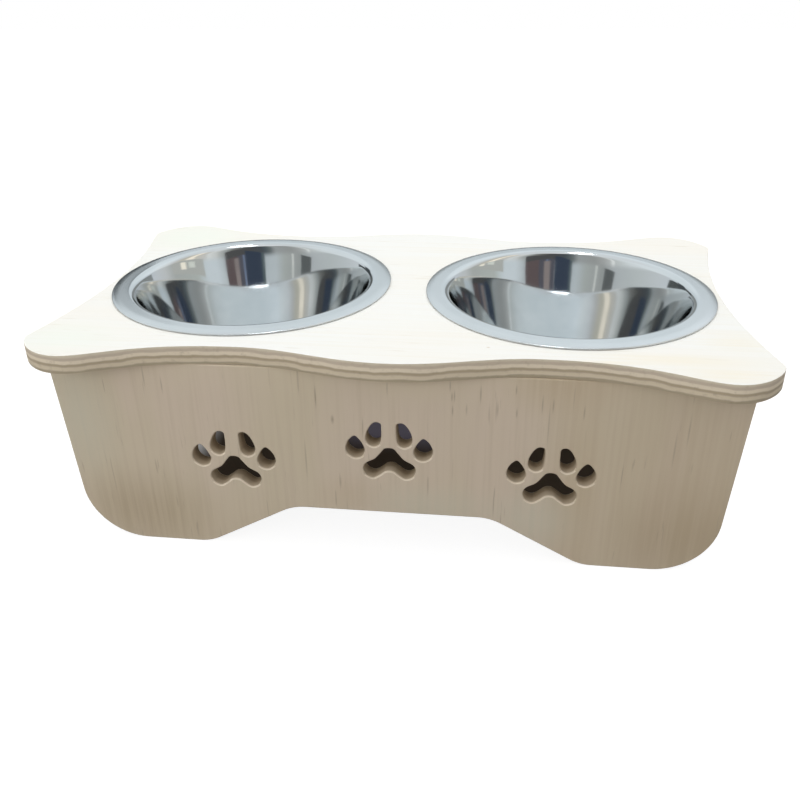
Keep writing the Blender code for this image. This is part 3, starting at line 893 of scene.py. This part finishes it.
# %% Floor
# Painted shadow under the stand, a little lighter and cooler towards the rear arch as painted
# light.
PAINTED_SHADOW = (0.007, 0.005, 0.003)
PAINTED_ARCH_LIGHT = (0.045, 0.042, 0.056)
GLOW = (0.87, 0.87, 0.87)
PAINTED_SHADOW_DIFFUSE = (0.095, 0.075, 0.06)
LIT_FLOOR = (0.34, 0.34, 0.34)
BOUNCE = (0.08, 0.078, 0.075, 1)
END_FADE = 0.05
FRONT_FADE = (-0.030, -0.048)
BACK_FADE = (0.010, 0.045)
ASIDE_FADE = (0.035, 0.080)


def unshaded_material(name):
    """A material without its usual shader, with its tree and the socket of its surface."""
    material, tree = new_material(name)
    tree.nodes.remove(tree.nodes["Principled BSDF"])
    output = next(n for n in tree.nodes if n.type == "OUTPUT_MATERIAL")
    return material, tree, output.inputs["Surface"]


def place_parts(tree):
    """The three object coordinates, each a socket."""
    place = add_node(tree, "ShaderNodeTexCoord").outputs["Object"]
    return add_node(tree, "ShaderNodeSeparateXYZ", place).outputs


def seen_directly(tree):
    """1 where the camera, a mirror or glass sees the surface, 0 where it only lights things."""
    path = add_node(tree, "ShaderNodeLightPath").outputs
    seen = calculate(tree, "MAXIMUM", path["Is Camera Ray"], path["Is Glossy Ray"])
    return calculate(tree, "MAXIMUM", seen, path["Is Transmission Ray"])


def outside_painted_shadow(tree, aside, y):
    """1 on the floor round the stand, fading to 0 under it, where the shadow is painted."""
    outside = between(tree, aside, end_high.x - END_FADE, end_high.x)
    for start, end in (FRONT_FADE, (PANEL_INNER_Y, PANEL_OUTER_Y)):
        outside = calculate(tree, "MAXIMUM", outside, between(tree, y, start, end))
    return outside


def new_floor_material():
    material, tree, surface = unshaded_material("studio_floor")
    parts = place_parts(tree)
    aside = calculate(tree, "ABSOLUTE", parts["X"])
    outside = outside_painted_shadow(tree, aside, parts["Y"])
    behind = between(tree, parts["Y"], *BACK_FADE)
    arch_light_share = multiply(tree, behind, between(tree, aside, *ASIDE_FADE, 1.0, 0.0))
    painted_shade = blend_colour(tree, arch_light_share, PAINTED_SHADOW, PAINTED_ARCH_LIGHT)
    glow = add_node(tree, "ShaderNodeEmission", blend_colour(tree, outside, painted_shade, GLOW))
    pale = add_node(tree, "ShaderNodeBsdfDiffuse",
                    blend_colour(tree, outside, PAINTED_SHADOW_DIFFUSE, LIT_FLOOR))
    lit = add_node(tree, "ShaderNodeAddShader", glow.outputs[0], pale.outputs[0])
    matt = add_node(tree, "ShaderNodeBsdfDiffuse", BOUNCE)
    mix = add_node(tree, "ShaderNodeMixShader", seen_directly(tree), matt.outputs[0],
                   lit.outputs[0])
    tree.links.new(mix.outputs[0], surface)
    return material


floor_mesh = bpy.data.meshes.new("studio_floor")
floor_mesh.from_pydata([(-4, -4, 0), (4, -4, 0), (4, 4, 0), (-4, 4, 0)], [], [(0, 1, 2, 3)])
floor_mesh.materials.append(new_floor_material())
floor = add_object("studio_floor", floor_mesh)
print("floor glow:", GLOW[0], "under the stand:", PAINTED_SHADOW[0])

# %% [markdown]
# ## Light
#
# The sky is an even white that gives about half of the light. Upright boards see half of it
# and the top board sees all. A wide low lamp in front, at the left, reaches under the board's
# overhang and lights the front panel evenly, and a lamp overhead keeps the top the brightest.

# %% Sky and lamps
SKY_STRENGTH = 0.56
world = bpy.data.worlds.new("studio")
bpy.context.scene.world = world
world.use_nodes = True
sky = world.node_tree
background = sky.nodes["Background"]
background.inputs["Color"].default_value = (1, 1, 1, 1)
strength = between(sky, seen_directly(sky), 0, 1, SKY_STRENGTH, 1.0)
sky.links.new(strength, background.inputs["Strength"])


def soft_lamp(name, place, target, size, power):
    """A lamp that the steel doesn't show, aimed at a target, with its power in watts."""
    lamp = bpy.data.lights.new(name, "AREA")
    lamp.shape = "RECTANGLE"
    lamp.size, lamp.size_y = size
    lamp.energy = power
    lamp_object = add_object(name, lamp)
    lamp_object.location = place
    aim = Vector(target) - Vector(place)
    lamp_object.rotation_euler = aim.to_track_quat("-Z", "Y").to_euler()
    lamp_object.visible_glossy = False
    print(name, "watts:", power)


soft_lamp("window", (-0.60, -1.4, 0.55), (0, -0.1, 0.07), (1.4, 0.9), 7.3)
soft_lamp("top_light", (0.0, 0.35, 1.6), (0, 0.1, 0.13), (1.0, 0.8), 9.9)

# %% [markdown]
# ## What the steel reflects
#
# A mirror shows its surroundings, so steel in an all-white studio looks like paper. A product
# photographer stands dark and grey cards round the table, and the polished wall picks them
# up as upright stripes. Here the cards are flat sheets that only the steel can see: they
# neither light the boards nor shade them.

# %% Sheets that only the steel sees
def seen_by_steel_only(name, points, faces, colour_of):
    """A glowing sheet for the steel to mirror; colour_of gives its colour in a node tree."""
    material, tree, surface = unshaded_material(name)
    glow = add_node(tree, "ShaderNodeEmission", colour_of(tree))
    tree.links.new(glow.outputs[0], surface)
    mesh = bpy.data.meshes.new(name)
    mesh.from_pydata(points, [], faces)
    mesh.materials.append(material)
    sheet = add_object(name, mesh)
    for ray in ("camera", "diffuse", "transmission", "volume_scatter", "shadow"):
        setattr(sheet, "visible_" + ray, False)


# %% [markdown]
# The far surroundings are one round wall. Its tone changes round the room, and differently
# low down and high up, so two colour ramps over the bearing paint it: 0 is behind the feeder,
# 90 at its right, and -90 at its left.

# %% Studio wall
WALL_LOW = ((-180, (0.52, 0.57, 0.59)), (-170, (0.53, 0.58, 0.60)), (-160, (0.44, 0.47, 0.45)),
            (-150, (0.40, 0.42, 0.41)), (-143, (0.36, 0.38, 0.37)), (-128, (0.50, 0.53, 0.54)),
            (-104, (0.55, 0.59, 0.59)), (-75, (0.61, 0.65, 0.67)), (-50, (0.66, 0.71, 0.75)),
            (-12, (0.66, 0.73, 0.77)), (12, (0.66, 0.73, 0.77)), (40, (0.63, 0.67, 0.71)),
            (60, (0.60, 0.62, 0.62)), (72, (0.46, 0.48, 0.46)), (100, (0.50, 0.53, 0.50)),
            (107, (0.60, 0.66, 0.67)), (112, (0.66, 0.72, 0.75)), (124, (0.66, 0.72, 0.75)),
            (131, (0.57, 0.62, 0.64)), (137, (0.42, 0.44, 0.45)), (180, (0.52, 0.57, 0.59)))
WALL_HIGH = ((-180, (0.10, 0.12, 0.13)), (-175, (0.16, 0.18, 0.18)), (-169, (0.38, 0.40, 0.40)),
             (-152, (0.36, 0.37, 0.36)), (-142, (0.44, 0.45, 0.44)), (-134, (0.56, 0.58, 0.57)),
             (-133, (0.90, 0.92, 0.90)), (-131, (0.90, 0.92, 0.90)), (-130, (0.58, 0.61, 0.60)),
             (-112, (0.74, 0.79, 0.80)), (-90, (0.80, 0.86, 0.88)), (-34, (0.78, 0.85, 0.88)),
             (-8, (0.78, 0.85, 0.88)), (30, (0.86, 0.93, 0.97)), (45, (0.83, 0.88, 0.89)),
             (60, (0.75, 0.78, 0.79)), (70, (0.62, 0.62, 0.61)), (80, (0.62, 0.59, 0.50)),
             (87, (0.64, 0.61, 0.52)), (89, (1.10, 1.00, 0.84)), (98, (1.15, 1.04, 0.87)),
             (100, (0.68, 0.64, 0.56)), (112, (0.66, 0.65, 0.62)), (115, (0.80, 0.82, 0.80)),
             (124, (0.70, 0.71, 0.69)), (128, (0.55, 0.57, 0.55)), (136, (0.36, 0.38, 0.37)),
             (141, (0.22, 0.22, 0.21)), (150, (0.16, 0.16, 0.15)), (158, (0.09, 0.09, 0.09)),
             (176, (0.08, 0.09, 0.10)), (180, (0.10, 0.12, 0.13)))
WALL_CHANGE = (1.15, 1.65)
WALL_RADIUS = 3.2
WALL_HEIGHT = 6.5
WALL_SIDES = 96


def wall_colour(tree):
    """The low wall's tones, changing to the high wall's between two heights."""
    parts = place_parts(tree)
    bearing = calculate(tree, "ARCTAN2", parts["X"], parts["Y"])
    share = add_node(tree, "ShaderNodeMapRange", bearing, -pi, pi).outputs[0]
    bands = [painted_ramp(tree, share, [((angle + 180) / 360, tone) for angle, tone in stops])
             for stops in (WALL_LOW, WALL_HIGH)]
    return blend_colour(tree, between(tree, parts["Z"], *WALL_CHANGE), *bands)


ring = circle((0.0, 0.0), WALL_RADIUS, WALL_SIDES)
neighbours = [(i, (i + 1) % WALL_SIDES) for i in range(WALL_SIDES)]
seen_by_steel_only("studio_wall", [(x, y, z) for z in (0.0, WALL_HEIGHT) for x, y in ring],
                   [(a, b, WALL_SIDES + b, WALL_SIDES + a) for a, b in neighbours],
                   wall_colour)
print("wall tones:", len(WALL_LOW), "low and", len(WALL_HIGH), "high")

# %% [markdown]
# Near the table stand smaller cards: dark ones in front for the broad upright stripes, a few
# pale strips between them, a table edge behind, and a ceiling with one bright lamp overhead,
# which gives the short highlight on each bowl's far lip.

# %% Cards round the table
def plain_colour(colour):
    """A painter for one even colour."""
    def paint(tree):
        flat = add_node(tree, "ShaderNodeRGB")
        flat.outputs[0].default_value = (*colour, 1.0)
        return flat.outputs[0]
    return paint


def stand_card(name, corner, far_corner, heights, colour):
    """An upright card between two places on the floor."""
    (x, y), (far_x, far_y) = corner, far_corner
    low_z, high_z = heights
    seen_by_steel_only(name, [(x, y, low_z), (far_x, far_y, low_z), (far_x, far_y, high_z),
                              (x, y, high_z)], [(0, 1, 2, 3)], plain_colour(colour))


def level_card(name, corner, far_corner, z, colour):
    """A card that lies level at a height."""
    (x, y), (far_x, far_y) = corner, far_corner
    seen_by_steel_only(name, [(x, y, z), (far_x, y, z), (far_x, far_y, z), (x, far_y, z)],
                       [(0, 1, 2, 3)], plain_colour(colour))


CARDS = (("navy_card", (0.273, -0.80), (0.028, -1.06), (0.0, 0.64), (0.045, 0.06, 0.09)),
         ("navy_edge_card", (0.028, -1.06), (-0.03, -1.12), (0.0, 0.64), (0.10, 0.13, 0.14)),
         ("blue_strip", (0.61, -1.47), (0.665, -1.47), (0.0, 0.85), (0.20, 0.26, 0.38)),
         ("rose_strip", (0.292, -0.607), (0.372, -0.607), (0.0, 0.42), (0.28, 0.24, 0.23)),
         ("brown_card", (1.00, -1.65), (1.667, -1.65), (0.0, 0.95), (0.13, 0.10, 0.10)),
         ("dark_card", (0.453, -1.65), (1.00, -1.65), (0.0, 0.95), (0.10, 0.10, 0.12)),
         ("dark_top_card", (0.453, -1.65), (1.667, -1.65), (0.95, 1.42), (0.09, 0.09, 0.09)),
         ("slate_card", (-2.33, -1.9), (-1.56, -1.9), (0.0, 0.97), (0.12, 0.13, 0.13)),
         ("pale_strip", (-1.16, -1.9), (-1.06, -1.9), (0.0, 0.97), (0.66, 0.68, 0.65)),
         ("tan_card", (1.5, 0.58), (1.5, -0.52), (0.40, 0.82), (0.49, 0.50, 0.47)),
         ("cream_card", (1.49, 0.25), (1.49, 0.08), (0.50, 0.72), (1.05, 0.98, 0.83)),
         ("white_card", (1.49, -0.02), (1.49, -0.22), (0.54, 0.72), (0.74, 0.77, 0.70)),
         ("chair_card", (-0.90, 0.90), (-0.66, 1.10), (0.0, 0.565), (0.07, 0.08, 0.085)),
         ("back_low_card", (-1.6, 2.75), (1.9, 2.30), (0.0, 0.80), (0.27, 0.29, 0.29)),
         ("back_dark_card", (-1.9, 1.0), (-0.60, 1.9), (0.0, 0.58), (0.09, 0.10, 0.10)),
         ("low_card", (-1.15, 1.2), (-0.50, 1.2), (0.0, 0.40), (0.13, 0.14, 0.14)))
for card in CARDS:
    stand_card(*card)
level_card("table_card", (-2.2, 0.35), (-0.25, 2.0), 0.002, (0.13, 0.14, 0.14))
level_card("ceiling_panel", (-1.2, -0.6), (1.2, 1.2), 2.2, (0.76, 0.80, 0.82))
level_card("ceiling_lamp", (-0.15, -0.20), (0.10, 0.40), 2.19, (15.0, 15.4, 15.8))
print("cards:", len(CARDS) + 3)

# %% [markdown]
# ## Camera
#
# The camera stands in front, a little to the right, and looks down at about 28 degrees.

# %% Camera
CAMERA_PLACE = (0.05859, -0.50976, 0.32328)
YAW, PITCH, ROLL = (radians(a) for a in (-6.784, 27.933, -0.546))
forward = Vector((sin(YAW) * cos(PITCH), cos(YAW) * cos(PITCH), -sin(PITCH)))
level_right = Vector((cos(YAW), -sin(YAW), 0.0))
level_up = level_right.cross(forward)
right = cos(ROLL) * level_right + sin(ROLL) * level_up
up = cos(ROLL) * level_up - sin(ROLL) * level_right
camera_data = bpy.data.cameras.new("camera")
camera_data.sensor_width = 36.0
camera_data.lens = 37.70
camera_data.shift_x = -0.0078
camera_data.shift_y = 0.0005
camera = add_object("camera", camera_data)
turn = Matrix((right, up, -forward)).transposed().to_4x4()
camera.matrix_world = Matrix.Translation(CAMERA_PLACE) @ turn
bpy.context.scene.camera = camera
bpy.context.scene.view_settings.view_transform = "Standard"
print("camera at", [round(c, 3) for c in camera.matrix_world.translation])
